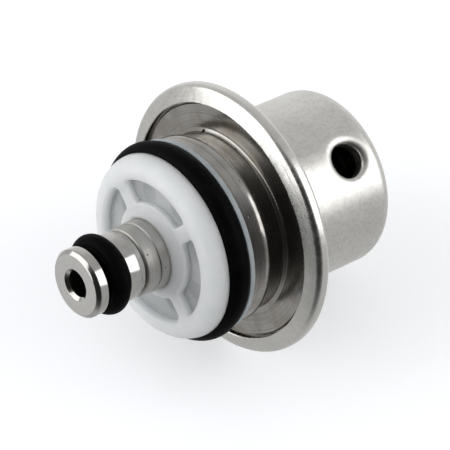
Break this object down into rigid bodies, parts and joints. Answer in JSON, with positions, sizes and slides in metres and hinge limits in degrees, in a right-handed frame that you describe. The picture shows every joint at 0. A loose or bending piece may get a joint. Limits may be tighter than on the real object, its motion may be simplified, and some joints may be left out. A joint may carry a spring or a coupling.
{
  "type": "fuel pressure regulator",
  "caption": "Crimped steel can regulator with a sprung diaphragm valve, a vent, a sealed inlet spigot with a moulded filter and a turned return nozzle with a seal ring.",
  "frame": {"origin": "centre of the cover's flat closed end, on which the part stands", "axes": "+Z along the part's axis from the closed end to the return nozzle, vent facing -Y"},
  "size_m": [0.04, 0.04, 0.0476],
  "materials": {
    "cover_steel": "drawn bright steel, satin",
    "housing_steel": "drawn steel, satin",
    "turned_steel": "turned, bright",
    "seal_rubber": "moulded matt black rubber",
    "backup_plastic": "translucent natural plastic",
    "filter_plastic": "moulded white plastic",
    "filter_mesh": "woven fine screen",
    "diaphragm_rubber": "fabric-backed rubber",
    "plated_steel": "zinc-plated stamping",
    "valve_brass": "turned brass",
    "ball_steel": "ground and polished",
    "spring_steel": "drawn spring wire"
  },
  "bodies": {
    "regulator_body": {"spring_cover": "cover_steel", "inlet_housing": "housing_steel", "return_tube": "turned_steel", "tube_o_ring": "seal_rubber", "body_o_ring": "seal_rubber", "backup_ring": "backup_plastic", "filter_frame": "filter_plastic", "filter_screen": "filter_mesh", "diaphragm": "diaphragm_rubber", "main_spring": "spring_steel", "spring_seat": "plated_steel"},
    "valve": {"spring_plate": "plated_steel", "clamp_plate": "plated_steel", "valve_holder": "valve_brass", "valve_ball": "ball_steel", "ball_retainer": "plated_steel", "ball_spring": "spring_steel"}
  },
  "joints": [
    {"name": "valve_lift", "type": "slide", "parent": "regulator_body", "child": "valve", "axis": [0, 0, -1], "range_m": [0, 0.0008], "stiffness_N_per_m": 150, "springref_m": -0.002, "deforming": ["main_spring", "diaphragm"]}
  ]
}
